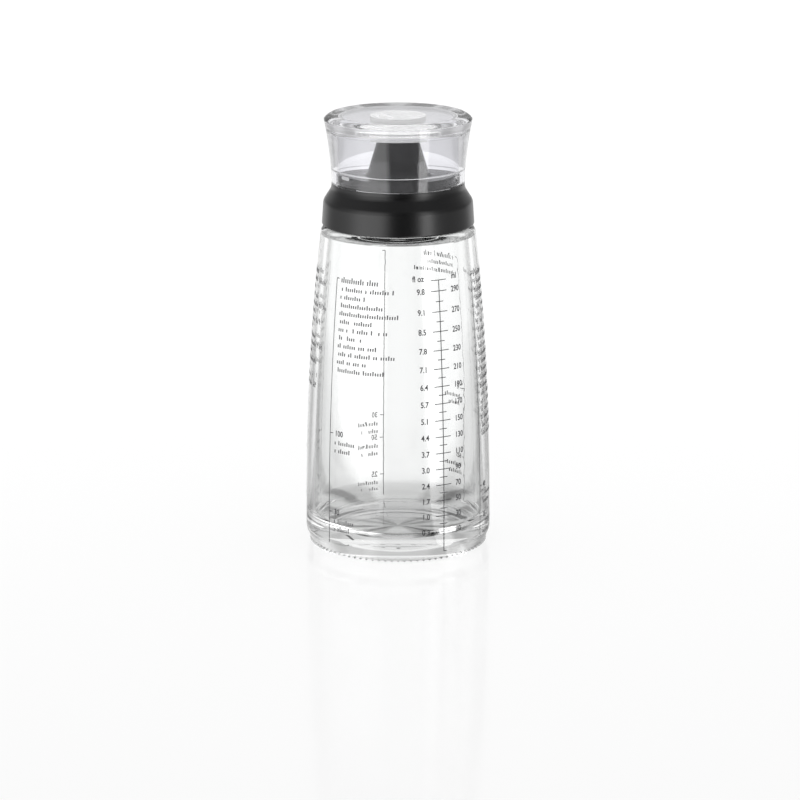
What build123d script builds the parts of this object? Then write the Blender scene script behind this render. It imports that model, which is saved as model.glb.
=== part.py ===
from build123d import *
from math import sqrt
import os

# Salad dressing shaker: a tapered glass bottle, a screwed pouring collar with its
# gasket, and a clear twist-off cap whose seal closes the spout.
# Millimetres. +Z is up and the origin is the centre of the plane the bottle stands on.
# Outlines are (radius, height) pairs turned about Z. The front of the shaker faces -Y.

# Bottle
BASE_RADIUS = 35.5
WIDEST_HEIGHT = 10.0
SIDE_SWEEP = 1027.0
GLASS_WALL = 3.0
HEEL_HEIGHT = 5.0
HEEL_ROUNDING = 6.0
REST_INSET = 2.3
REST_WIDTH = 4.2
REST_EDGE_ROUNDING = 1.0
PUNT_DEPTH = 2.5
FLOOR_THICKNESS = 5.5
FLOOR_CORNER_ROUNDING = 6.0
SHOULDER_HEIGHT = 123.6
SHOULDER_WIDTH = 5.6
SHOULDER_ROUNDING = 2.6
SHOULDER_WALL = 2.2
INNER_SHOULDER_ROUNDING = 1.5
NECK_LENGTH = 13.4
NECK_WALL = 3.0
NECK_ROOT_ROUNDING = 0.9
LIP_ROUNDING = 1.2

# Gasket on the lip
GASKET_THICKNESS = 1.6

# Screwed collar, with the land that presses the gasket
NECK_CLEARANCE = 0.35
THREAD_SPACE = 1.9
COLLAR_GAP = 0.6
COLLAR_WALL = 3.45
COLLAR_DRAFT = 0.6
COLLAR_FOOT_ROUNDING = 0.6
COLLAR_BREAK_ROUNDING = 3.5
COLLAR_INNER_BREAK_RISE = 0.8
COLLAR_SLOPE_RISE = 4.8
COVE_DROP = 2.1
COVE_FLARE = 0.1
COVE_ROUNDING = 4.0
LAND_THICKNESS = 1.5
LEDGE_WIDTH = 2.0

# Deck and spout, one moulding with the collar
DECK_INSET = 0.4
DECK_RIM = 2.7
DECK_THICKNESS = 2.0
DECK_EDGE_ROUNDING = 0.3
SPOUT_LENGTH = 14.4
SPOUT_MOUTH_RADIUS = 7.9
SPOUT_FOOT_RADIUS = 11.8
SPOUT_WALL = 1.9
SPOUT_FOOT_ROUNDING = 2.5
SPOUT_RIM_ROUNDING = 0.8

# Clear cap
CAP_WALL = 2.4
CAP_FLARE = 2.9
CAP_FLARE_SWEEP = 137.0
CAP_TOP_THICKNESS = 4.7
CAP_CROWN_WIDTH = 3.7
CAP_CROWN_RISE = 1.9
CAP_EDGE_ROUNDING = 0.5
CAP_FOOT_ROUNDING = 0.3
CAP_INNER_FOOT_ROUNDING = 0.5
CAP_STEP_ROUNDING = 0.6
CAP_BORE_DRAFT = 0.2
CAP_CEILING_ROUNDING = 2.0
CAP_BAND_HEIGHT = 5.2

# Seal between the cap's ceiling and the spout's mouth
SEAL_OVERLAP = 2.7
SEAL_DROP = 3.0
SEAL_SEAT_DEPTH = 0.6
SEAL_CLEARANCE = 0.1
SEAL_EDGE_ROUNDING = 1.5

# Bayonet between the cap's foot and the deck
LUG_COUNT = 3
FIRST_LUG_ANGLE = -143.5
LUG_WIDTH_ANGLE = 27.0
LUG_DEPTH = 1.1
LUG_HEIGHT = 1.0
LOCK_TURN_ANGLE = 30.0
BAYONET_CLEARANCE = 0.3
BAYONET_CLEARANCE_ANGLE = 1.5


def side_radius(height, inset=0.0):
    """Radius of the bottle's swept side at a height, moved inwards by inset."""
    sweep = SIDE_SWEEP - inset
    rise = height - WIDEST_HEIGHT
    return BASE_RADIUS - inset - sweep + sqrt(sweep**2 - rise**2)


# Heights that follow from the sizes above, from the bottle upwards
FLOOR_HEIGHT = PUNT_DEPTH + FLOOR_THICKNESS
NECK_TOP = SHOULDER_HEIGHT + NECK_LENGTH
LAND_HEIGHT = NECK_TOP + GASKET_THICKNESS
LEDGE_HEIGHT = LAND_HEIGHT + LAND_THICKNESS
DECK_HEIGHT = LEDGE_HEIGHT + LUG_HEIGHT + BAYONET_CLEARANCE + DECK_RIM
SPOUT_TOP = DECK_HEIGHT + SPOUT_LENGTH
CAP_CEILING = SPOUT_TOP + SEAL_DROP
SEAL_TOP = CAP_CEILING + SEAL_SEAT_DEPTH
CAP_TOP = CAP_CEILING + CAP_TOP_THICKNESS

# Radii that follow, from the neck outwards and upwards
NECK_RADIUS = side_radius(SHOULDER_HEIGHT) - SHOULDER_WIDTH
NECK_BORE = NECK_RADIUS - NECK_WALL
THREAD_BORE = NECK_RADIUS + THREAD_SPACE
COLLAR_FOOT_RADIUS = THREAD_BORE + COLLAR_WALL
DECK_RADIUS = NECK_RADIUS - DECK_INSET
LEDGE_RADIUS = DECK_RADIUS + LEDGE_WIDTH
CAP_BORE = LEDGE_RADIUS - CAP_WALL
CAP_BAND_BORE = DECK_RADIUS + BAYONET_CLEARANCE
LUG_INNER_RADIUS = CAP_BAND_BORE - LUG_DEPTH
SLOT_RADIUS = LUG_INNER_RADIUS - BAYONET_CLEARANCE
SEAL_RADIUS = SPOUT_MOUTH_RADIUS + SEAL_OVERLAP


def turned(*corners):
    """Solid turned about Z from (radius, height, rounding) corners."""
    points = [(radius, height) for radius, height, rounding in corners]
    roundings = [rounding for radius, height, rounding in corners]
    path = FilletPolyline(*points, radius=roundings, close=True)
    return revolve(Plane.XZ * make_face(path), axis=Axis.Z)


def turned_sector(inner, outer, bottom, top, start_angle, sweep_angle):
    """Block of ring section that runs sweep_angle degrees about Z from start_angle."""
    middle = ((inner + outer) / 2, (bottom + top) / 2)
    section = Plane.XZ * Pos(*middle) * Rectangle(outer - inner, top - bottom)
    block = revolve(section, axis=Axis.Z, revolution_arc=sweep_angle)
    return Rot(0, 0, start_angle) * block


def rounded(face, *corners):
    """Flat face with the corners nearest the (radius, height, rounding) ones rounded."""
    for radius, height, rounding in corners:
        corner = face.vertices().sort_by_distance((radius, height, 0))[0]
        face = fillet(corner, rounding)
    return face


def glass_bottle():
    """Tapered bottle with a heavy base, a punt under it and a neck for the collar."""
    rest_outer = BASE_RADIUS - REST_INSET
    rest_inner = rest_outer - REST_WIDTH
    heel = (side_radius(HEEL_HEIGHT), HEEL_HEIGHT)
    shoulder = (side_radius(SHOULDER_HEIGHT), SHOULDER_HEIGHT)
    inner_height = SHOULDER_HEIGHT - SHOULDER_WALL
    inner_shoulder = (side_radius(inner_height, GLASS_WALL), inner_height)
    floor_corner = (side_radius(FLOOR_HEIGHT, GLASS_WALL), FLOOR_HEIGHT)
    outline = Curve() + [
        TangentArc((0, PUNT_DEPTH), (rest_inner, 0), tangent=(1, 0)),
        Polyline((rest_inner, 0), (rest_outer, 0), heel),
        RadiusArc(heel, shoulder, -SIDE_SWEEP),
        Polyline(shoulder, (NECK_RADIUS, SHOULDER_HEIGHT), (NECK_RADIUS, NECK_TOP),
                 (NECK_BORE, NECK_TOP), (NECK_BORE, inner_height), inner_shoulder),
        RadiusArc(inner_shoulder, floor_corner, SIDE_SWEEP - GLASS_WALL),
        Polyline(floor_corner, (0, FLOOR_HEIGHT), (0, PUNT_DEPTH)),
    ]
    section = rounded(
        make_face(outline),
        (rest_outer, 0, REST_EDGE_ROUNDING),
        (*heel, HEEL_ROUNDING),
        (*shoulder, SHOULDER_ROUNDING),
        (NECK_RADIUS, SHOULDER_HEIGHT, NECK_ROOT_ROUNDING),
        (NECK_RADIUS, NECK_TOP, LIP_ROUNDING),
        (NECK_BORE, NECK_TOP, LIP_ROUNDING),
        (NECK_BORE, inner_height, INNER_SHOULDER_ROUNDING),
        (*inner_shoulder, INNER_SHOULDER_ROUNDING),
        (*floor_corner, FLOOR_CORNER_ROUNDING),
    )
    return revolve(Plane.XZ * section, axis=Axis.Z)


def lip_gasket():
    """Flat cut ring pressed between the bottle's lip and the land under the deck."""
    return turned(
        (NECK_BORE, NECK_TOP, 0),
        (NECK_RADIUS, NECK_TOP, 0),
        (NECK_RADIUS, LAND_HEIGHT, 0),
        (NECK_BORE, LAND_HEIGHT, 0),
    )


def pouring_collar():
    """Screwed collar, deck and open conical spout, moulded as one piece."""
    foot_height = SHOULDER_HEIGHT + COLLAR_GAP
    cove_height = LEDGE_HEIGHT - COVE_DROP
    break_height = cove_height - COLLAR_SLOPE_RISE
    upper_bore = NECK_RADIUS + NECK_CLEARANCE
    underside = DECK_HEIGHT - DECK_THICKNESS
    collar = turned(
        (THREAD_BORE, foot_height, COLLAR_FOOT_ROUNDING),
        (COLLAR_FOOT_RADIUS, foot_height, COLLAR_FOOT_ROUNDING),
        (COLLAR_FOOT_RADIUS - COLLAR_DRAFT, break_height, COLLAR_BREAK_ROUNDING),
        (LEDGE_RADIUS + COVE_FLARE, cove_height, COVE_ROUNDING),
        (LEDGE_RADIUS, LEDGE_HEIGHT, 0),
        (DECK_RADIUS, LEDGE_HEIGHT, 0),
        (DECK_RADIUS, DECK_HEIGHT, DECK_EDGE_ROUNDING),
        (SPOUT_FOOT_RADIUS, DECK_HEIGHT, SPOUT_FOOT_ROUNDING),
        (SPOUT_MOUTH_RADIUS, SPOUT_TOP, SPOUT_RIM_ROUNDING),
        (SPOUT_MOUTH_RADIUS - SPOUT_WALL, SPOUT_TOP, SPOUT_RIM_ROUNDING / 2),
        (SPOUT_FOOT_RADIUS - SPOUT_WALL, underside, SPOUT_FOOT_ROUNDING),
        (NECK_BORE, underside, 0),
        (NECK_BORE, LAND_HEIGHT, 0),
        (upper_bore, LAND_HEIGHT, 0),
        (upper_bore, NECK_TOP, 0),
        (THREAD_BORE, break_height + COLLAR_INNER_BREAK_RISE, 0),
    )
    for slot in bayonet_slots():
        collar -= slot
    return collar


def lug_starts():
    """Angle about Z at which each lug starts, in the pose where the cap lifts off."""
    first = FIRST_LUG_ANGLE - LUG_WIDTH_ANGLE / 2
    return [first + 360 / LUG_COUNT * lug for lug in range(LUG_COUNT)]


def bayonet_slots():
    """Slots in the deck's edge: down through its rim, then round under it."""
    run_top = LEDGE_HEIGHT + LUG_HEIGHT + BAYONET_CLEARANCE
    opening = LUG_WIDTH_ANGLE + 2 * BAYONET_CLEARANCE_ANGLE
    slots = []
    for lug_start in lug_starts():
        start = lug_start - BAYONET_CLEARANCE_ANGLE
        slots.append(turned_sector(SLOT_RADIUS, CAP_BAND_BORE, LEDGE_HEIGHT, DECK_HEIGHT, start, opening))
        slots.append(turned_sector(SLOT_RADIUS, CAP_BAND_BORE, LEDGE_HEIGHT, run_top,
                                   start - LOCK_TURN_ANGLE, LOCK_TURN_ANGLE + opening / 2))
    return slots


def clear_cap():
    """Flared cap with a crowned top, a seat for the seal and lugs inside its foot."""
    band_top = LEDGE_HEIGHT + CAP_BAND_HEIGHT
    seat_radius = SEAL_RADIUS + SEAL_CLEARANCE
    foot = (LEDGE_RADIUS, LEDGE_HEIGHT)
    edge = (LEDGE_RADIUS + CAP_FLARE, CAP_TOP - CAP_CROWN_RISE)
    crown = (LEDGE_RADIUS + CAP_FLARE - CAP_CROWN_WIDTH, CAP_TOP)
    ceiling_corner = (CAP_BORE - CAP_BORE_DRAFT, CAP_CEILING)
    outline = Curve() + [
        RadiusArc(foot, edge, CAP_FLARE_SWEEP),
        TangentArc(crown, edge, tangent=(1, 0)),
        Polyline(crown, (0, CAP_TOP), (0, SEAL_TOP), (seat_radius, SEAL_TOP),
                 (seat_radius, CAP_CEILING), ceiling_corner, (CAP_BORE, band_top),
                 (CAP_BAND_BORE, band_top), (CAP_BAND_BORE, LEDGE_HEIGHT), foot),
    ]
    section = rounded(
        make_face(outline),
        (*edge, CAP_EDGE_ROUNDING),
        (*foot, CAP_FOOT_ROUNDING),
        (CAP_BAND_BORE, LEDGE_HEIGHT, CAP_INNER_FOOT_ROUNDING),
        (CAP_BORE, band_top, CAP_STEP_ROUNDING),
        (*ceiling_corner, CAP_CEILING_ROUNDING),
    )
    cap = revolve(Plane.XZ * section, axis=Axis.Z)
    for lug_start in lug_starts():
        cap += turned_sector(LUG_INNER_RADIUS, CAP_BAND_BORE + LUG_DEPTH / 2, LEDGE_HEIGHT,
                             LEDGE_HEIGHT + LUG_HEIGHT, lug_start, LUG_WIDTH_ANGLE)
    return cap


def spout_seal():
    """Soft disc in the cap's ceiling that closes the spout's mouth."""
    return turned(
        (0, SPOUT_TOP, 0),
        (SEAL_RADIUS, SPOUT_TOP, SEAL_EDGE_ROUNDING),
        (SEAL_RADIUS, SEAL_TOP, 0),
        (0, SEAL_TOP, 0),
    )


os.makedirs("parts", exist_ok=True)
export_step(glass_bottle(), "parts/glass_bottle.step")
export_step(lip_gasket(), "parts/lip_gasket.step")
export_step(pouring_collar(), "parts/pouring_collar.step")
export_step(clear_cap(), "parts/clear_cap.step")
export_step(spout_seal(), "parts/spout_seal.step")
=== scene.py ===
"""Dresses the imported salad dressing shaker: its finishes, threads, printed scale and studio."""
from math import atan2, cos, pi, radians, sin, sqrt, tau

import bmesh
import bpy
from mathutils import Matrix, Vector


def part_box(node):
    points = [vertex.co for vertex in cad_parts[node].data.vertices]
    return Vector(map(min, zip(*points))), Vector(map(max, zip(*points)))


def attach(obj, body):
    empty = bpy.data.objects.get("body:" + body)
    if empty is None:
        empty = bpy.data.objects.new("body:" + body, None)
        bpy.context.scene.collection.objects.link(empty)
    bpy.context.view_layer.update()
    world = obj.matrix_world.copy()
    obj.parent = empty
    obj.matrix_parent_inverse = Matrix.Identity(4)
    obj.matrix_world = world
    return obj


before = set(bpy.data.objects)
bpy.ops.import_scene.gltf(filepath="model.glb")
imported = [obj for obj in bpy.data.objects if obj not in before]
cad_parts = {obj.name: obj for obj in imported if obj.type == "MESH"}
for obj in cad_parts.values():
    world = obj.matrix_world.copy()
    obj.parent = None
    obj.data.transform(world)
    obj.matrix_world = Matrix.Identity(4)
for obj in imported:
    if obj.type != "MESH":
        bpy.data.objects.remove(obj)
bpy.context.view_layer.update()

bl_info = {
    "name": "Salad dressing shaker",
    "version": (1, 0, 0),
    "blender": (4, 5, 0),
    "location": "3D View > Sidebar > Shaker",
    "description": "Finishes, threads, printed scale and studio of a glass dressing shaker",
    "category": "Object",
}

MM = 0.001

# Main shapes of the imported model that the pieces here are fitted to
BASE_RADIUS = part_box("glass_bottle")[1].x
WIDEST_HEIGHT = 10 * MM
SIDE_SWEEP = 1027 * MM
GLASS_WALL = 3 * MM
FLOOR_HEIGHT = 8 * MM
FLOOR_CORNER_ROUNDING = 6 * MM
NECK_RADIUS = 23.6 * MM
THREAD_BORE = 25.5 * MM
REST_OUTER_RADIUS = 33.2 * MM
CAP_FOOT_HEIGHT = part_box("clear_cap")[0].z
CAP_FOOT_RADIUS = 25.2 * MM
CAP_SWEEP = 137 * MM
CAP_SWEEP_HEIGHT = 135.85 * MM


def side_radius(height, inset=0.0):
    """Radius of the bottle's swept side at a height, moved inwards by inset."""
    sweep = SIDE_SWEEP - inset
    return BASE_RADIUS - inset - sweep + sqrt(sweep**2 - (height - WIDEST_HEIGHT)**2)


def cap_radius(height):
    """Radius of the cap's flared side at a height."""
    foot_depth = sqrt(CAP_SWEEP**2 - (CAP_FOOT_HEIGHT - CAP_SWEEP_HEIGHT)**2)
    return CAP_FOOT_RADIUS + foot_depth - sqrt(CAP_SWEEP**2 - (height - CAP_SWEEP_HEIGHT)**2)


def fill_height(millilitres):
    """Height of the surface when the bottle holds a volume, by adding up thin slices."""
    slice_height = 0.05 * MM
    volume = 0.0
    height = FLOOR_HEIGHT
    while volume < millilitres * MM**2:
        middle = height + slice_height / 2
        radius = side_radius(middle, GLASS_WALL)
        below_wall = FLOOR_HEIGHT + FLOOR_CORNER_ROUNDING - middle
        if below_wall > 0:
            radius -= FLOOR_CORNER_ROUNDING - sqrt(FLOOR_CORNER_ROUNDING**2 - below_wall**2)
        volume += pi * radius**2 * slice_height
        height += slice_height
    return height


# Settings

def length(name, description, default, low, high):
    """A size in metres, shown as a length in the panel."""
    return bpy.props.FloatProperty(
        name=name, description=description, default=default, min=low, max=high,
        unit="LENGTH", subtype="DISTANCE", precision=5)


def colour(name, description, default):
    """A colour without transparency."""
    return bpy.props.FloatVectorProperty(
        name=name, description=description, subtype="COLOR", min=0, max=1, default=default)


class ShakerSettings(bpy.types.PropertyGroup):
    """Colours and sizes that a user would change"""
    glass_colour: colour(
        "Glass", "Tint of the bottle's clear glass", (0.985, 0.99, 0.988))
    cap_colour: colour(
        "Cap", "Tint of the clear moulded cap", (0.95, 0.95, 0.975))
    collar_colour: colour(
        "Collar", "Colour of the moulded pouring collar", (0.0035, 0.0035, 0.004))
    seal_colour: colour(
        "Silicone", "Colour of the spout seal and the lip gasket", (0.86, 0.86, 0.84))
    ink_colour: colour(
        "Ink", "Colour of the print on the glass", (0.055, 0.055, 0.06))
    pale_ink_colour: colour(
        "Pale ink", "Colour of the fine print, which reads as grey", (0.16, 0.16, 0.165))
    mark_colour: colour(
        "Cap marks", "Colour of the bar and the arrow on the cap", (0.8, 0.8, 0.82))
    ink_thickness: length(
        "Ink thickness", "How far the print stands off the glass", 0.03 * MM, 0, MM)
    ink_lift: length(
        "Ink lift", "Gap between the true glass surface and the print", 0.02 * MM, 0, MM)
    digit_height: length(
        "Digit height", "Height of the numbers on the scale", 2.15 * MM, MM, 5 * MM)
    tick_half_length: length(
        "Tick", "Half the length of a numbered tick", 3.3 * MM, MM, 6 * MM)
    short_tick_half_length: length(
        "Short tick", "Half the length of a tick without a number", 1.6 * MM, MM, 6 * MM)
    line_width: length(
        "Line width", "Width of the printed lines", 0.3 * MM, 0.1 * MM, MM)
    thread_lead: length(
        "Thread lead", "Rise of the collar's thread in one turn", 5 * MM, 2 * MM, 8 * MM)
    knurl_count: bpy.props.IntProperty(
        name="Knurls", description="Number of small ridges round the standing ring",
        default=86, min=12, max=200)


# Small modelling helpers

def deselect_all():
    """Leaves nothing selected."""
    bpy.ops.object.select_all(action="DESELECT")


def select_only(objects):
    """Selects some objects alone and makes the first one active."""
    deselect_all()
    for item in objects:
        item.select_set(True)
    bpy.context.view_layer.objects.active = objects[0]


def settle(piece, name=None):
    """Puts a piece's place, turn and size into its mesh."""
    select_only([piece])
    bpy.ops.object.transform_apply(location=True, rotation=True, scale=True)
    if name:
        piece.name = name
        piece.data.name = name
    return piece


def joined(pieces, name):
    """Joins pieces into the first one, which takes the name."""
    select_only(pieces)
    if len(pieces) > 1:
        bpy.ops.object.join()
    return settle(bpy.context.object, name)


def copied(piece):
    """A copy of a piece with its own mesh."""
    twin = piece.copy()
    twin.data = piece.data.copy()
    bpy.context.scene.collection.objects.link(twin)
    return twin


def mend_normals(piece):
    """Merges doubles and turns all faces outwards."""
    select_only([piece])
    bpy.ops.object.mode_set(mode="EDIT")
    bpy.ops.mesh.select_all(action="SELECT")
    bpy.ops.mesh.remove_doubles(threshold=0.001 * MM)
    bpy.ops.mesh.normals_make_consistent(inside=False)
    bpy.ops.object.mode_set(mode="OBJECT")


def bar(width, height, thickness, x, z):
    """A thin upright bar of ink, flat in the XZ plane."""
    deselect_all()
    bpy.ops.mesh.primitive_cube_add(size=1, location=(x, 0, z))
    piece = bpy.context.object
    piece.scale = (width, thickness, height)
    return settle(piece)


def rounded_bar(width, height, thickness, x, z):
    """A bar whose ends are rounded by a bevel."""
    rounding_share = 0.49
    piece = bar(width, height, thickness, x, z)
    bpy.ops.object.mode_set(mode="EDIT")
    mesh = bmesh.from_edit_mesh(piece.data)
    for edge in mesh.edges:
        first, second = edge.verts
        edge.select_set(abs(first.co.y - second.co.y) > thickness / 2)
    bmesh.update_edit_mesh(piece.data)
    bpy.ops.mesh.bevel(offset=height * rounding_share, segments=4)
    bpy.ops.object.mode_set(mode="OBJECT")
    return piece


def number(text, height, thickness, x, z, align="CENTER"):
    """A printed number or unit, as a closed mesh flat in the XZ plane."""
    digit_share = 0.7
    boldness = 0.06 * MM
    narrowing = 0.85
    deselect_all()
    bpy.ops.object.text_add(rotation=(radians(90), 0, 0))
    piece = bpy.context.object
    piece.data.body = text
    piece.data.size = height / digit_share
    piece.data.align_x = align
    piece.data.align_y = "CENTER"
    piece.data.extrude = thickness / 2
    piece.data.offset = boldness
    piece.data.resolution_u = 3
    bpy.ops.object.convert(target="MESH")
    piece = bpy.context.object
    piece.location = (x, 0, z)
    piece.scale = (narrowing, 1, 1)
    return settle(piece)


def sliced(piece, step_across, step_up):
    """Cuts a flat piece into strips, so that it can follow a round side."""
    select_only([piece])
    corners = [Vector(corner) for corner in piece.bound_box]
    bpy.ops.object.mode_set(mode="EDIT")
    for axis, step in ((0, step_across), (2, step_up)):
        low = min(corner[axis] for corner in corners)
        high = max(corner[axis] for corner in corners)
        normal = Vector((0, 0, 0))
        normal[axis] = 1
        for index in range(1, int((high - low) / step) + 1):
            bpy.ops.mesh.select_all(action="SELECT")
            bpy.ops.mesh.bisect(plane_co=normal * (low + index * step), plane_no=normal)
    bpy.ops.object.mode_set(mode="OBJECT")
    return piece


def wrapped(piece, azimuth, radius_at, lift, thickness):
    """Wraps a flat piece round a turned side. Azimuth 0 is the camera's side and 90 its right."""
    for vertex in piece.data.vertices:
        across, depth, height = vertex.co
        side = radius_at(height)
        turn = radians(azimuth) + across / side
        radius = side + lift + thickness / 2 - depth
        vertex.co = (radius * sin(turn), -radius * cos(turn), height)
    piece.data.update()
    mend_normals(piece)
    return piece


# Node material helpers

def new_material(name):
    """An empty node material and its shader."""
    material = bpy.data.materials.new(name)
    material.use_nodes = True
    nodes = material.node_tree.nodes
    nodes.clear()
    output = nodes.new("ShaderNodeOutputMaterial")
    shader = nodes.new("ShaderNodeBsdfPrincipled")
    material.node_tree.links.new(shader.outputs["BSDF"], output.inputs["Surface"])
    return material, shader


def link(tree, output, socket):
    """Feeds one node's output into another's input."""
    tree.links.new(output, socket)


def new_group(name, inputs, outputs):
    """A shader node group with float, vector or colour sockets, and its two ends."""
    group = bpy.data.node_groups.new(name, "ShaderNodeTree")
    for side, sockets in (("INPUT", inputs), ("OUTPUT", outputs)):
        for socket, kind in sockets.items():
            group.interface.new_socket(socket, in_out=side, socket_type=f"NodeSocket{kind}")
    return group, group.nodes.new("NodeGroupInput"), group.nodes.new("NodeGroupOutput")


def moulded_grain():
    """Fine grain and slow waves of a moulded surface, as a roughness and a bumped normal."""
    name = "Moulded grain"
    if name in bpy.data.node_groups:
        return bpy.data.node_groups[name]
    group, start, end = new_group(
        name,
        {"Grain Scale": "Float", "Low Roughness": "Float", "High Roughness": "Float",
         "Grain Height": "Float", "Wave Height": "Float"},
        {"Roughness": "Float", "Normal": "Vector", "Variation": "Float"})
    place = group.nodes.new("ShaderNodeTexCoord")
    grain = group.nodes.new("ShaderNodeTexNoise")
    grain.inputs["Detail"].default_value = 5
    wave = group.nodes.new("ShaderNodeTexNoise")
    wave.inputs["Scale"].default_value = 55
    wave.inputs["Detail"].default_value = 1
    spread = group.nodes.new("ShaderNodeMapRange")
    fine = group.nodes.new("ShaderNodeBump")
    slow = group.nodes.new("ShaderNodeBump")
    link(group, place.outputs["Object"], grain.inputs["Vector"])
    link(group, place.outputs["Object"], wave.inputs["Vector"])
    link(group, start.outputs["Grain Scale"], grain.inputs["Scale"])
    link(group, grain.outputs["Fac"], spread.inputs["Value"])
    link(group, start.outputs["Low Roughness"], spread.inputs["To Min"])
    link(group, start.outputs["High Roughness"], spread.inputs["To Max"])
    link(group, wave.outputs["Fac"], slow.inputs["Height"])
    link(group, start.outputs["Wave Height"], slow.inputs["Distance"])
    link(group, grain.outputs["Fac"], fine.inputs["Height"])
    link(group, start.outputs["Grain Height"], fine.inputs["Distance"])
    link(group, slow.outputs["Normal"], fine.inputs["Normal"])
    link(group, spread.outputs["Result"], end.inputs["Roughness"])
    link(group, fine.outputs["Normal"], end.inputs["Normal"])
    link(group, wave.outputs["Fac"], end.inputs["Variation"])
    return group


def grained(material, shader, scale, low, high, grain_height, wave_height=0.0):
    """Lets the moulded grain set a shader's roughness and normal."""
    grain = material.node_tree.nodes.new("ShaderNodeGroup")
    grain.node_tree = moulded_grain()
    grain.inputs["Grain Scale"].default_value = scale
    grain.inputs["Low Roughness"].default_value = low
    grain.inputs["High Roughness"].default_value = high
    grain.inputs["Grain Height"].default_value = grain_height
    grain.inputs["Wave Height"].default_value = wave_height
    link(material.node_tree, grain.outputs["Roughness"], shader.inputs["Roughness"])
    link(material.node_tree, grain.outputs["Normal"], shader.inputs["Normal"])
    return grain


def varied_colour(material, shader, grain, dark, light):
    """Lets the slow waves move a shader's colour between two near tones."""
    ramp = material.node_tree.nodes.new("ShaderNodeMix")
    ramp.data_type = "RGBA"
    ramp.inputs["A"].default_value = (*dark, 1)
    ramp.inputs["B"].default_value = (*light, 1)
    link(material.node_tree, grain.outputs["Variation"], ramp.inputs["Factor"])
    link(material.node_tree, ramp.outputs["Result"], shader.inputs["Base Color"])


def scaled_colour(base, share):
    """A colour made darker or lighter by a share, with no channel over 1."""
    return tuple(min(channel * share, 1) for channel in base)


def set_ramp(ramp, stops):
    """Sets a ramp's (position, colour) stops. The first stands at 0 and the last at 1."""
    elements = ramp.color_ramp.elements
    elements[0].position = 0
    elements[1].position = 1
    for position, shade in stops[1:-1]:
        elements.new(position)
    for element, (position, shade) in zip(elements, stops):
        element.color = (*shade, 1)


def give(node, material):
    """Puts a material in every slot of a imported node."""
    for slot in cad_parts[node].material_slots:
        slot.material = material


def dress(piece, material, body):
    """Gives a new piece its material, the body it rides on and the slot of its finish."""
    piece.data.materials.clear()
    piece.data.materials.append(material)
    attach(piece, body)


# Finishes

# Painted shade: share of the glass tint that is left, by how far the surface is turned from the
# view, so the glass is painted darker where it is seen edge on
PAINTED_EDGE_SHADE_STOPS = ((0, 1), (0.62, 1), (0.72, 0.45), (0.82, 0.45), (1, 0.8))
# How much glossier the collar's plastic is where the cap covers it, as roughness
COVERED_POLISH = 0.2


def glass_material(name, tint):
    """Clear bottle glass with the faint waves of a blown wall, and painted shade that darkens its
    colour where it is seen edge on.
    """
    material, shader = new_material(name)
    shader.inputs["Transmission Weight"].default_value = 1
    shader.inputs["IOR"].default_value = 1.52
    grained(material, shader, 60, 0.0, 0.01, 0.0, 0.00004)
    tree = material.node_tree
    # Painted shade: the facing ramp darkens the base colour at grazing angles
    facing = tree.nodes.new("ShaderNodeLayerWeight")
    facing.inputs["Blend"].default_value = 0.5
    edge = tree.nodes.new("ShaderNodeValToRGB")
    set_ramp(edge, [(position, scaled_colour(tint, share)) for position, share in PAINTED_EDGE_SHADE_STOPS])
    link(tree, facing.outputs["Facing"], edge.inputs["Fac"])
    link(tree, edge.outputs["Color"], shader.inputs["Base Color"])
    return material


def cap_material(tint):
    """Clear moulded plastic, a little cool."""
    material, shader = new_material("Clear moulded plastic")
    shader.inputs["Transmission Weight"].default_value = 1
    shader.inputs["IOR"].default_value = 1.5
    grain = grained(material, shader, 90, 0.0, 0.015, 0.0, 0.00002)
    varied_colour(material, shader, grain, scaled_colour(tint, 0.985), scaled_colour(tint, 1.015))
    return material


def collar_material(base):
    """Black plastic, satin outside and glossier where the cap covers it."""
    material, shader = new_material("Satin black plastic")
    shader.inputs["IOR"].default_value = 1.5
    grain = grained(material, shader, 2600, 0.26, 0.36, 0.000010)
    varied_colour(material, shader, grain, scaled_colour(base, 0.8), scaled_colour(base, 1.25))
    tree = material.node_tree
    place = tree.nodes.new("ShaderNodeTexCoord")
    parts = tree.nodes.new("ShaderNodeSeparateXYZ")
    covered = tree.nodes.new("ShaderNodeMapRange")
    covered.inputs["From Min"].default_value = CAP_FOOT_HEIGHT
    covered.inputs["From Max"].default_value = CAP_FOOT_HEIGHT + 0.5 * MM
    polish = tree.nodes.new("ShaderNodeMath")
    polish.operation = "MULTIPLY_ADD"
    polish.inputs[1].default_value = -COVERED_POLISH
    link(tree, place.outputs["Object"], parts.inputs["Vector"])
    link(tree, parts.outputs["Z"], covered.inputs["Value"])
    link(tree, covered.outputs["Result"], polish.inputs[0])
    link(tree, grain.outputs["Roughness"], polish.inputs[2])
    link(tree, polish.outputs["Value"], shader.inputs["Roughness"])
    return material


def silicone_material(name, base):
    """Milky silicone that lets some light through."""
    material, shader = new_material(name)
    shader.inputs["IOR"].default_value = 1.41
    shader.inputs["Transmission Weight"].default_value = 0.92
    grain = grained(material, shader, 900, 0.14, 0.24, 0.000002)
    varied_colour(material, shader, grain, scaled_colour(base, 0.97), scaled_colour(base, 1.03))
    # Painted light: a weak glow on the seal's top
    gathered_light(material, shader)
    return material


def gathered_light(material, shader):
    """Painted light: a weak glow on the seal's top, in place of the light that the clear cap
    gathers there.
    """
    clear_depth, full_depth = 0.4 * MM, 0.1 * MM
    tree = material.node_tree
    place = tree.nodes.new("ShaderNodeTexCoord")
    parts = tree.nodes.new("ShaderNodeSeparateXYZ")
    link(tree, place.outputs["Object"], parts.inputs["Vector"])
    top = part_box("spout_seal")[1].z
    glow = eased(tree, parts.outputs["Z"], top - clear_depth, top - full_depth, 0, 1)
    link(tree, glow, shader.inputs["Emission Color"])
    shader.inputs["Emission Strength"].default_value = 0.2


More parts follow.
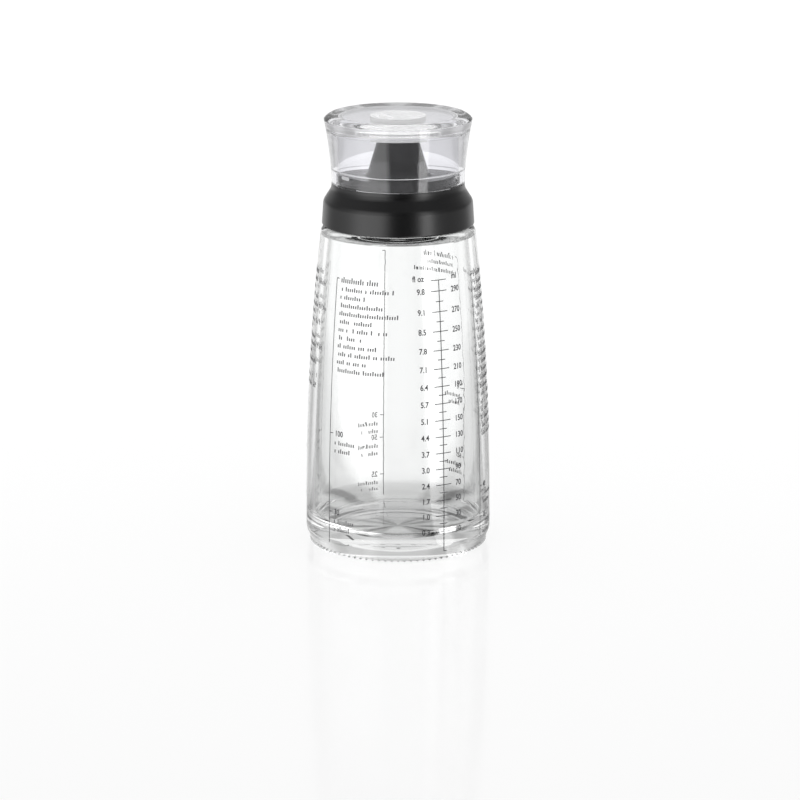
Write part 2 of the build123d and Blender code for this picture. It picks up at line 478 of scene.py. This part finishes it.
def ink_material(name, base):
    """Fired ceramic ink: dull, with small pinholes of thinner ink."""
    material, shader = new_material(name)
    shader.inputs["IOR"].default_value = 1.5
    grain = grained(material, shader, 6000, 0.45, 0.7, 0.000004)
    varied_colour(material, shader, grain, scaled_colour(base, 0.85), scaled_colour(base, 1.15))
    return material


# Bottle

class SHAKER_OT_bottle(bpy.types.Operator):
    """Gives the bottle its glass"""
    bl_idname = "shaker.bottle"
    bl_label = "Glass bottle"

    def execute(self, context):
        give("glass_bottle", glass_material("Bottle glass", context.scene.shaker.glass_colour))
        return {"FINISHED"}


def knurl():
    """One small ridge under the heel, at the bottle's front."""
    width, depth, height = 0.85 * MM, 1.7 * MM, 0.42 * MM
    overhang = 0.15 * MM
    kept_height = height * 1.3
    deselect_all()
    bpy.ops.mesh.primitive_uv_sphere_add(
        segments=12, ring_count=6, radius=1, location=(0, -REST_OUTER_RADIUS - overhang, height))
    piece = bpy.context.object
    piece.scale = (width / 2, depth / 2, height)
    settle(piece)
    bpy.ops.object.mode_set(mode="EDIT")
    bpy.ops.mesh.select_all(action="SELECT")
    bpy.ops.mesh.bisect(
        plane_co=(0, 0, kept_height), plane_no=(0, 0, 1), use_fill=True, clear_outer=True)
    bpy.ops.object.mode_set(mode="OBJECT")
    bpy.ops.object.shade_smooth_by_angle(angle=radians(50))
    return piece


class SHAKER_OT_knurls(bpy.types.Operator):
    """Adds the ring of small glass ridges that the bottle stands on"""
    bl_idname = "shaker.knurls"
    bl_label = "Standing ring knurls"

    def execute(self, context):
        settings = context.scene.shaker
        first = knurl()
        ridges = [first]
        for index in range(1, settings.knurl_count):
            ridge = copied(first)
            ridge.matrix_world = Matrix.Rotation(tau * index / settings.knurl_count, 4, "Z")
            ridges.append(ridge)
        ring = joined(ridges, "standing_ring_knurls")
        dress(ring, glass_material("Knurl glass", settings.glass_colour), "bottle")
        return {"FINISHED"}


# Threads

NECK_THREAD_HEIGHT = 127.4 * MM
NECK_THREAD_TURNS = 1.15
NECK_THREAD_DEPTH = 1.4 * MM
NECK_THREAD_SINK = 0.1 * MM
COLLAR_THREAD_TURNS = 1.3
COLLAR_THREAD_DEPTH = 1.3 * MM
COLLAR_THREAD_SINK = 0.2 * MM


def thread(name, root_radius, crest_radius, start_height, turns, lead):
    """A right-handed trapezoid thread whose two ends run out into the wall."""
    root_half, crest_half = 1.0 * MM, 0.45 * MM
    steps_per_turn = 96
    deselect_all()
    bpy.ops.mesh.primitive_plane_add(size=1, rotation=(radians(90), 0, 0))
    piece = settle(bpy.context.object, name)
    for vertex in piece.data.vertices:
        on_root = vertex.co.x < 0
        half = root_half if on_root else crest_half
        height = start_height + (half if vertex.co.z > 0 else -half)
        vertex.co = (root_radius if on_root else crest_radius, 0, height)
    screw = piece.modifiers.new("Thread", "SCREW")
    screw.axis = "Z"
    screw.angle = tau * turns
    screw.screw_offset = lead * turns
    screw.steps = int(steps_per_turn * turns)
    screw.render_steps = screw.steps
    screw.use_merge_vertices = False
    bpy.ops.object.modifier_apply(modifier=screw.name)
    run_out(piece, root_radius, start_height, turns, lead)
    mend_normals(piece)
    bpy.ops.object.shade_smooth_by_angle(angle=radians(30))
    return piece


def run_out(piece, root_radius, start_height, turns, lead):
    """Sinks a thread's crest into its wall over its first and last twelfth of a turn."""
    share_of_turn = 1 / 12
    for vertex in piece.data.vertices:
        radius = vertex.co.xy.length
        turned = atan2(vertex.co.y, vertex.co.x) / tau % 1
        along = (vertex.co.z - start_height) / lead
        turned += round(along - turned)
        left = min(turned, turns - turned)
        keep = max(0.0, min(1.0, left / share_of_turn))
        smooth = keep * keep * (3 - 2 * keep)
        new_radius = root_radius + (radius - root_radius) * smooth
        vertex.co.x *= new_radius / radius
        vertex.co.y *= new_radius / radius


class SHAKER_OT_neck_thread(bpy.types.Operator):
    """Adds the glass thread round the bottle's neck"""
    bl_idname = "shaker.neck_thread"
    bl_label = "Neck thread"

    def execute(self, context):
        settings = context.scene.shaker
        piece = thread(
            "neck_thread", NECK_RADIUS - NECK_THREAD_SINK, NECK_RADIUS + NECK_THREAD_DEPTH,
            NECK_THREAD_HEIGHT, NECK_THREAD_TURNS, settings.thread_lead)
        dress(piece, glass_material("Neck glass", settings.glass_colour), "bottle")
        return {"FINISHED"}


class SHAKER_OT_collar_thread(bpy.types.Operator):
    """Adds the thread inside the collar, half a lead under the neck's"""
    bl_idname = "shaker.collar_thread"
    bl_label = "Collar thread"

    def execute(self, context):
        settings = context.scene.shaker
        start_height = NECK_THREAD_HEIGHT - settings.thread_lead / 2
        piece = thread(
            "collar_thread", THREAD_BORE + COLLAR_THREAD_SINK, THREAD_BORE - COLLAR_THREAD_DEPTH,
            start_height, COLLAR_THREAD_TURNS, settings.thread_lead)
        dress(piece, collar_material(settings.collar_colour), "collar")
        return {"FINISHED"}


# Collar, cap and seals

class SHAKER_OT_collar(bpy.types.Operator):
    """Gives the pouring collar its satin black plastic"""
    bl_idname = "shaker.collar"
    bl_label = "Pouring collar"

    def execute(self, context):
        give("pouring_collar", collar_material(context.scene.shaker.collar_colour))
        return {"FINISHED"}


class SHAKER_OT_cap(bpy.types.Operator):
    """Gives the cap its clear plastic"""
    bl_idname = "shaker.cap"
    bl_label = "Clear cap"

    def execute(self, context):
        give("clear_cap", cap_material(context.scene.shaker.cap_colour))
        return {"FINISHED"}


class SHAKER_OT_seals(bpy.types.Operator):
    """Gives the spout seal and the lip gasket their silicone"""
    bl_idname = "shaker.seals"
    bl_label = "Silicone seals"

    def execute(self, context):
        base = context.scene.shaker.seal_colour
        give("spout_seal", silicone_material("Seal silicone", base))
        give("lip_gasket", silicone_material("Gasket silicone", base))
        return {"FINISHED"}


CAP_MARK_HEIGHT = 144.3 * MM
BAR_AZIMUTH = -51
BAR_LENGTH = 4.6 * MM
BAR_WIDTH = 1.35 * MM
ARROW_AZIMUTH = 63


def arrow(thickness):
    """A left-pointing arrow of a shaft and a head."""
    shaft_length, shaft_width, shaft_middle = 3.4 * MM, 0.45 * MM, 0.8 * MM
    head_radius, head_middle = 1.3 * MM, -1.6 * MM
    shaft = bar(shaft_length, shaft_width, thickness, shaft_middle, CAP_MARK_HEIGHT)
    deselect_all()
    bpy.ops.mesh.primitive_cylinder_add(
        vertices=3, radius=head_radius, depth=thickness,
        location=(head_middle, 0, CAP_MARK_HEIGHT), rotation=(radians(90), radians(-90), 0))
    head = settle(bpy.context.object)
    return joined([shaft, head], "cap_arrow")


class SHAKER_OT_cap_marks(bpy.types.Operator):
    """Prints the bar and the turning arrow on the cap's band"""
    bl_idname = "shaker.cap_marks"
    bl_label = "Cap marks"

    def execute(self, context):
        settings = context.scene.shaker
        thickness = settings.ink_thickness
        paint = ink_material("White cap paint", settings.mark_colour)
        mark = rounded_bar(BAR_LENGTH, BAR_WIDTH, thickness, 0, CAP_MARK_HEIGHT)
        mark.name = "cap_bar"
        for piece, azimuth in ((mark, BAR_AZIMUTH), (arrow(thickness), ARROW_AZIMUTH)):
            sliced(piece, 0.5 * MM, 1 * MM)
            wrapped(piece, azimuth, cap_radius, settings.ink_lift, thickness)
            dress(piece, paint, "cap")
        return {"FINISHED"}


# Print on the glass

SCALE_AZIMUTH = 29.3
SCALE_FOOT_HEIGHT = 3.6 * MM
TOP_MILLILITRES = 300
OUNCE_MILLILITRES = 29.57
OUNCES_ACROSS = -7.4 * MM
MILLILITRES_ACROSS = 5.4 * MM
OUNCE_UNIT_ACROSS = -8.2 * MM
MILLILITRE_UNIT_ACROSS = 7 * MM
UNIT_RISE = 0.8 * MM
HOOK_LENGTH = 1.2 * MM
LETTER_WIDTH = 0.5 * MM
LETTER_HEIGHT = 1.15 * MM
LETTER_PITCH = 0.95 * MM
ROW_PITCH = 3.08 * MM
PRINT_MARGIN = 2.6 * MM
ROW_STAGGER = 0.5 * MM
HEADING_LETTERS = 17
HEADING_SIZE = 1.3
# Each panel's azimuth in degrees, its rows of fine print and the millilitres poured in turn
PANELS = (
    (-47.5, 11, (30, 100)),
    (62, 20, (15, 40)),
    (126, 2, (60, 90)),
    (190, 0, (25, 50, 30)),
    (251, 14, (45, 60)),
)
PANEL_FOOT_HEIGHT = 5 * MM
PANEL_TOP_HEIGHT = 107.5 * MM


def scale_numbers(settings, line_height, millilitres):
    """The two numbers beside a tick: fluid ounces on the left, millilitres on the right."""
    size = settings.digit_height
    thickness = settings.ink_thickness
    ounces = f"{millilitres / OUNCE_MILLILITRES:.1f}"
    left = number(ounces, size, thickness, OUNCES_ACROSS, line_height)
    right = number(
        str(millilitres), size, thickness, MILLILITRES_ACROSS, line_height, align="LEFT")
    return [left, right]


class SHAKER_OT_scale(bpy.types.Operator):
    """Prints the measuring scale, whose ticks follow the bottle's true inner volume"""
    bl_idname = "shaker.scale"
    bl_label = "Measuring scale"

    def execute(self, context):
        settings = context.scene.shaker
        width = settings.line_width
        thickness = settings.ink_thickness
        top = fill_height(TOP_MILLILITRES)
        middle = (top + SCALE_FOOT_HEIGHT) / 2
        unit_height = top + UNIT_RISE
        upright_boldness = 1.15
        parts = [
            bar(width * upright_boldness, top - SCALE_FOOT_HEIGHT, thickness, 0, middle),
            bar(HOOK_LENGTH, width, thickness, HOOK_LENGTH / 2, SCALE_FOOT_HEIGHT),
            bar(2 * settings.tick_half_length, width, thickness, 0, top),
            number("fl oz", settings.digit_height, thickness, OUNCE_UNIT_ACROSS, unit_height),
            number("ml", settings.digit_height, thickness, MILLILITRE_UNIT_ACROSS, unit_height),
        ]
        for millilitres in range(10, TOP_MILLILITRES, 10):
            height = fill_height(millilitres)
            numbered = millilitres % 20 == 10
            half = settings.tick_half_length if numbered else settings.short_tick_half_length
            parts.append(bar(2 * half, width, thickness, 0, height))
            if numbered:
                parts += scale_numbers(settings, height, millilitres)
        piece = sliced(joined(parts, "measuring_scale"), 1 * MM, 3 * MM)
        wrapped(piece, SCALE_AZIMUTH, side_radius, settings.ink_lift, thickness)
        dress(piece, ink_material("Scale ink", settings.ink_colour), "bottle")
        return {"FINISHED"}


def print_letter(settings):
    """One small upright bar that stands for a letter, with its foot at the origin."""
    return bar(LETTER_WIDTH, LETTER_HEIGHT, settings.ink_thickness, 0, LETTER_HEIGHT / 2)


def fine_print(letter, seed, across, foot, letters, size=1.0):
    """A row of copies of the letter bar, with gaps for words and taller bars here and there."""
    tall_stretch = 1.45
    copies = []
    for index in range(letters):
        gap = (index * index + seed * 5) % 11 in (0, 5) and index
        if not gap:
            tall = (index * 5 + seed * 3) % 4 == 0
            stretch = size * (tall_stretch if tall else 1)
            twin = copied(letter)
            stretched = Matrix.Diagonal((1, 1, stretch, 1))
            twin.data.transform(Matrix.Translation((across, 0, foot)) @ stretched)
            copies.append(twin)
        across += LETTER_PITCH
    return copies


def poured_heights(amounts):
    """The height of the surface after each amount is poured in, paired with the amount."""
    return [(amount, fill_height(sum(amounts[:index + 1]))) for index, amount in enumerate(amounts)]


def panel_lines(settings, amounts):
    """A panel's upright line, the hook at its top and its numbered level marks."""
    width = settings.line_width
    thickness = settings.ink_thickness
    length_up = PANEL_TOP_HEIGHT - PANEL_FOOT_HEIGHT
    mark_length = 1.6 * MM
    parts = [
        bar(width, length_up, thickness, 0, PANEL_FOOT_HEIGHT + length_up / 2),
        bar(HOOK_LENGTH, width, thickness, HOOK_LENGTH / 2, PANEL_TOP_HEIGHT),
    ]
    for amount, height in poured_heights(amounts):
        parts.append(bar(mark_length, width, thickness, mark_length / 2, height))
        parts.append(number(
            str(amount), settings.digit_height, thickness, PRINT_MARGIN, height, align="LEFT"))
    return parts


def panel_print(settings, seed, rows, amounts):
    """A panel's heading, its rows of fine print and two short rows under each mark."""
    letter = print_letter(settings)
    top = PANEL_TOP_HEIGHT - 1.4 * MM
    mark_gap = 1.2 * MM
    mark_indent = 2.8 * MM
    heading = HEADING_LETTERS if rows else 0
    parts = fine_print(letter, seed, PRINT_MARGIN, top, heading, size=HEADING_SIZE)
    for row in range(1, rows + 1):
        indent = PRINT_MARGIN + (row % 2) * ROW_STAGGER
        letters = 11 + (row * 7 + seed * 5) % 18
        parts += fine_print(letter, seed + row, indent, top - row * ROW_PITCH, letters)
    for amount, height in poured_heights(amounts):
        for row in (1, 2):
            foot = height - row * ROW_PITCH - mark_gap
            letters = 7 + (amount + row * 3) % 5
            parts += fine_print(letter, seed + row, mark_indent, foot, letters)
    bpy.data.objects.remove(letter)
    return parts


class SHAKER_OT_panels(bpy.types.Operator):
    """Prints the upright panels of fine print round the glass"""
    bl_idname = "shaker.panels"
    bl_label = "Printed panels"

    def execute(self, context):
        settings = context.scene.shaker
        thickness = settings.ink_thickness
        ink = ink_material("Panel ink", settings.ink_colour)
        pale = ink_material("Pale panel ink", settings.pale_ink_colour)
        for index, (azimuth, rows, amounts) in enumerate(PANELS, start=1):
            lines = joined(panel_lines(settings, amounts), f"panel_{index}_lines")
            letters = joined(panel_print(settings, index, rows, amounts), f"panel_{index}_print")
            sliced(lines, 1 * MM, 3 * MM)
            for piece, material in ((lines, ink), (letters, pale)):
                wrapped(piece, azimuth, side_radius, settings.ink_lift, thickness)
                dress(piece, material, "bottle")
        return {"FINISHED"}


# Studio

# Brightness seen through glass, by the angle in degrees away from the front-to-back line
THROUGH_STOPS = (
    (0, 1.0), (12, 1.0), (17, 0.74), (25, 0.72), (28, 0.45), (33, 0.45), (37, 0.72),
    (41, 0.88), (49, 0.88), (53, 0.5), (62, 0.5), (76, 1.0), (90, 1.0),
)
# Brightness seen in gloss, by the angle in degrees to the right of the camera's side
GLOSS_STOPS = (
    (-180, 0.75), (-140, 0.75), (-125, 0.35), (-106, 0.5), (-78, 1.0), (-60, 2.2), (-22, 2.2),
    (-12, 0.02), (34, 0.02), (36, 3.6), (50, 3.6), (54, 0.6), (80, 0.4), (125, 0.35),
    (140, 0.75), (180, 0.75),
)
GLOSS_PEAK = 5.0
# Brightness that the camera sees, and that lights dull surfaces
FLOOR_SEEN = 0.78
FLOOR_LIGHT = 0.42
BACKDROP_SEEN = 1.0
BACKDROP_LIGHT = 0.9


def angle_ramp(ramp, stops, low, high, peak):
    """Sets a ramp's stops from angles between low and high, with levels as shares of peak."""
    set_ramp(ramp, [((angle - low) / (high - low), [level / peak] * 3) for angle, level in stops])


def math_node(tree, operation, *values):
    """A math node whose inputs are plain numbers or outputs of other nodes."""
    node = tree.nodes.new("ShaderNodeMath")
    node.operation = operation
    for socket, value in zip(node.inputs, values):
        if isinstance(value, (int, float)):
            socket.default_value = value
        else:
            link(tree, value, socket)
    return node.outputs["Value"]


def eased(tree, value, low, high, at_low, at_high):
    """A value that goes smoothly from one level to another between two limits."""
    node = tree.nodes.new("ShaderNodeMapRange")
    node.interpolation_type = "SMOOTHSTEP"
    link(tree, value, node.inputs["Value"])
    for socket, level in (("From Min", low), ("From Max", high),
                          ("To Min", at_low), ("To Max", at_high)):
        node.inputs[socket].default_value = level
    return node.outputs["Result"]


def studio_wall():
    """The studio round the shaker by azimuth: pale panels with gaps, as glass and gloss see it."""
    name = "Studio wall"
    if name in bpy.data.node_groups:
        return bpy.data.node_groups[name]
    group, start, end = new_group(
        name, {"Direction": "Vector"}, {"Through": "Float", "Gloss": "Float"})
    parts = group.nodes.new("ShaderNodeSeparateXYZ")
    link(group, start.outputs["Direction"], parts.inputs["Vector"])
    behind = math_node(group, "ARCTAN2", parts.outputs["X"], parts.outputs["Y"])
    turned = math_node(group, "ABSOLUTE", behind)
    folded = math_node(group, "MINIMUM", turned, math_node(group, "SUBTRACT", pi, turned))
    away = math_node(group, "DIVIDE", folded, pi / 2)
    through = group.nodes.new("ShaderNodeValToRGB")
    angle_ramp(through, THROUGH_STOPS, 0, 90, 1)
    link(group, away, through.inputs["Fac"])
    link(group, through.outputs["Color"], end.inputs["Through"])
    toward = math_node(group, "MULTIPLY", parts.outputs["Y"], -1)
    side = math_node(group, "ARCTAN2", parts.outputs["X"], toward)
    share = math_node(group, "MULTIPLY_ADD", side, 1 / tau, 0.5)
    gloss = group.nodes.new("ShaderNodeValToRGB")
    angle_ramp(gloss, GLOSS_STOPS, -180, 180, GLOSS_PEAK)
    link(group, share, gloss.inputs["Fac"])
    bright = math_node(group, "MULTIPLY", gloss.outputs["Color"], GLOSS_PEAK)
    link(group, bright, end.inputs["Gloss"])
    return group


def by_ray(tree, diffuse, gloss, through, camera):
    """A brightness for each kind of ray. Light refracted by glass counts as seen through it."""
    path = tree.nodes.new("ShaderNodeLightPath")
    level = diffuse
    for kind, value in (("Is Glossy Ray", gloss), ("Is Transmission Ray", through),
                        ("Is Camera Ray", camera)):
        node = tree.nodes.new("ShaderNodeMix")
        link(tree, path.outputs[kind], node.inputs["Factor"])
        for socket, source in (("A", level), ("B", value)):
            if isinstance(source, (int, float)):
                node.inputs[socket].default_value = source
            else:
                link(tree, source, node.inputs[socket])
        level = node.outputs["Result"]
    return level


def floor_material():
    """Pale floor, nearly white to the camera, with the object's shadow, a faint mirror and, where
    glass sees it, a painted shade near the object.
    """
    material, shader = new_material("Pale floor")
    tree = material.node_tree
    shader.inputs["Base Color"].default_value = (0.14, 0.14, 0.14, 1)
    shader.inputs["Roughness"].default_value = 0.1
    shader.inputs["Specular IOR Level"].default_value = 0.25
    shader.inputs["Emission Color"].default_value = (1, 1, 1, 1)
    place = tree.nodes.new("ShaderNodeTexCoord")
    wall = tree.nodes.new("ShaderNodeGroup")
    wall.node_tree = studio_wall()
    link(tree, place.outputs["Object"], wall.inputs["Direction"])
    reach = tree.nodes.new("ShaderNodeVectorMath")
    reach.operation = "LENGTH"
    link(tree, place.outputs["Object"], reach.inputs[0])
    reached = reach.outputs["Value"]
    lamp_light = 0.2
    added_light = 0.28
    far_light = eased(tree, reached, 0.3, 0.45, -lamp_light, added_light - lamp_light)
    # Painted shade: the floor seen through glass is darker within 5 to 10 cm of its centre, under
    # the object
    painted_near_shade = eased(tree, reached, 0.05, 0.1, -0.25, 0)
    through = math_node(tree, "ADD", wall.outputs["Through"], far_light)
    through = math_node(tree, "ADD", through, painted_near_shade)
    most = eased(tree, reached, 0.8, 2.2, 0.8, 0.55)
    through = math_node(tree, "MAXIMUM", math_node(tree, "MINIMUM", through, most), 0)
    seen = by_ray(tree, FLOOR_LIGHT, wall.outputs["Gloss"], through, FLOOR_SEEN)
    link(tree, seen, shader.inputs["Emission Strength"])
    return material


def studio_world():
    """Soft light all round, plain to the camera and panelled to glass and gloss."""
    world = bpy.data.worlds.new("Studio")
    bpy.context.scene.world = world
    world.use_nodes = True
    tree = world.node_tree
    tree.nodes.clear()
    output = tree.nodes.new("ShaderNodeOutputWorld")
    light = tree.nodes.new("ShaderNodeBackground")
    place = tree.nodes.new("ShaderNodeTexCoord")
    wall = tree.nodes.new("ShaderNodeGroup")
    wall.node_tree = studio_wall()
    parts = tree.nodes.new("ShaderNodeSeparateXYZ")
    link(tree, place.outputs["Generated"], wall.inputs["Direction"])
    link(tree, place.outputs["Generated"], parts.inputs["Vector"])
    rise = parts.outputs["Z"]
    low_share = eased(tree, rise, sin(radians(5)), sin(radians(11)), 0.9, 0.76)
    through = math_node(tree, "MULTIPLY_ADD", wall.outputs["Through"], 0.6, 0.4)
    through = math_node(tree, "MULTIPLY", through, low_share)
    toward_camera = eased(tree, parts.outputs["Y"], -0.96, -0.92, 0.9, 0)
    above_horizon = eased(tree, rise, sin(radians(6)), sin(radians(9)), 0, 1)
    dark_gap = math_node(tree, "MULTIPLY", toward_camera, above_horizon)
    through = math_node(tree, "MULTIPLY", through, math_node(tree, "SUBTRACT", 1, dark_gap))
    overhead = eased(tree, rise, sin(radians(30)), sin(radians(50)), 0, 1)
    through = math_node(tree, "MAXIMUM", through, overhead)
    wall_top, ceiling_foot = sin(radians(28)), sin(radians(45))
    low_gloss = eased(tree, rise, wall_top, ceiling_foot, 1, 0)
    gloss = math_node(tree, "MULTIPLY", wall.outputs["Gloss"], low_gloss)
    high_gloss = eased(tree, rise, wall_top, ceiling_foot, 0, 0.35)
    gloss = math_node(tree, "ADD", gloss, high_gloss)
    level = by_ray(tree, BACKDROP_LIGHT, gloss, through, BACKDROP_SEEN)
    link(tree, level, light.inputs["Strength"])
    link(tree, light.outputs["Background"], output.inputs["Surface"])


def overhead_light(height, size, power):
    """A square soft light that only lights surfaces, and isn't seen itself."""
    light = bpy.data.lights.new("overhead light", "AREA")
    light.size = size
    light.energy = power
    lamp = bpy.data.objects.new("overhead light", light)
    bpy.context.scene.collection.objects.link(lamp)
    lamp.location = (0, 0, height)
    lamp.visible_camera = False
    lamp.visible_transmission = False
    lamp.visible_glossy = False


def studio_camera():
    """The photograph's viewpoint, with the view length and the axis column in its pixels."""
    eye = Vector((0, -1.2948, 0.3889))
    aim = Vector((0, 0, 0.05474))
    view_length = 3478
    picture_width = 800
    axis_column = 398.1
    sensor_width = 36
    data = bpy.data.cameras.new("Camera")
    data.sensor_width = sensor_width
    data.lens = sensor_width * view_length / picture_width
    data.shift_x = (picture_width / 2 - axis_column) / picture_width
    data.clip_start = 0.05
    data.clip_end = 20
    camera = bpy.data.objects.new("Camera", data)
    bpy.context.scene.collection.objects.link(camera)
    camera.location = eye
    camera.rotation_mode = "QUATERNION"
    camera.rotation_quaternion = (aim - eye).to_track_quat("-Z", "Y")
    bpy.context.scene.camera = camera


class SHAKER_OT_studio(bpy.types.Operator):
    """Adds the floor, the soft lights and the photograph's camera"""
    bl_idname = "shaker.studio"
    bl_label = "Studio"

    def execute(self, context):
        deselect_all()
        floor_radius = 6
        bpy.ops.mesh.primitive_circle_add(vertices=96, radius=floor_radius, fill_type="NGON")
        floor = context.object
        floor.name = "studio_floor"
        floor.data.materials.append(floor_material())
        studio_world()
        overhead_light(height=1.2, size=0.9, power=3)
        studio_camera()
        scene = context.scene
        scene.view_settings.view_transform = "Standard"
        scene.cycles.max_bounces = 18
        scene.cycles.transmission_bounces = 18
        scene.cycles.glossy_bounces = 10
        return {"FINISHED"}


class SHAKER_PT_panel(bpy.types.Panel):
    """Lists the shaker's settings and the steps that dress it"""
    bl_idname = "SHAKER_PT_panel"
    bl_label = "Dressing shaker"
    bl_space_type = "VIEW_3D"
    bl_region_type = "UI"
    bl_category = "Shaker"

    def draw(self, context):
        for name in ShakerSettings.__annotations__:
            self.layout.prop(context.scene.shaker, name)
        for step in STEPS:
            self.layout.operator(step.bl_idname)


STEPS = (
    SHAKER_OT_bottle, SHAKER_OT_knurls, SHAKER_OT_neck_thread, SHAKER_OT_collar,
    SHAKER_OT_collar_thread, SHAKER_OT_cap, SHAKER_OT_cap_marks, SHAKER_OT_seals,
    SHAKER_OT_scale, SHAKER_OT_panels, SHAKER_OT_studio,
)
CLASSES = (ShakerSettings, *STEPS, SHAKER_PT_panel)


def register():
    for item in CLASSES:
        bpy.utils.register_class(item)
    bpy.types.Scene.shaker = bpy.props.PointerProperty(type=ShakerSettings)


def unregister():
    del bpy.types.Scene.shaker
    for item in reversed(CLASSES):
        bpy.utils.unregister_class(item)


def main():
    register()
    bpy.ops.shaker.bottle()
    bpy.ops.shaker.knurls()
    bpy.ops.shaker.neck_thread()
    bpy.ops.shaker.collar()
    bpy.ops.shaker.collar_thread()
    bpy.ops.shaker.cap()
    bpy.ops.shaker.cap_marks()
    bpy.ops.shaker.seals()
    bpy.ops.shaker.scale()
    bpy.ops.shaker.panels()
    bpy.ops.shaker.studio()


if __name__ == "__main__":
    main()
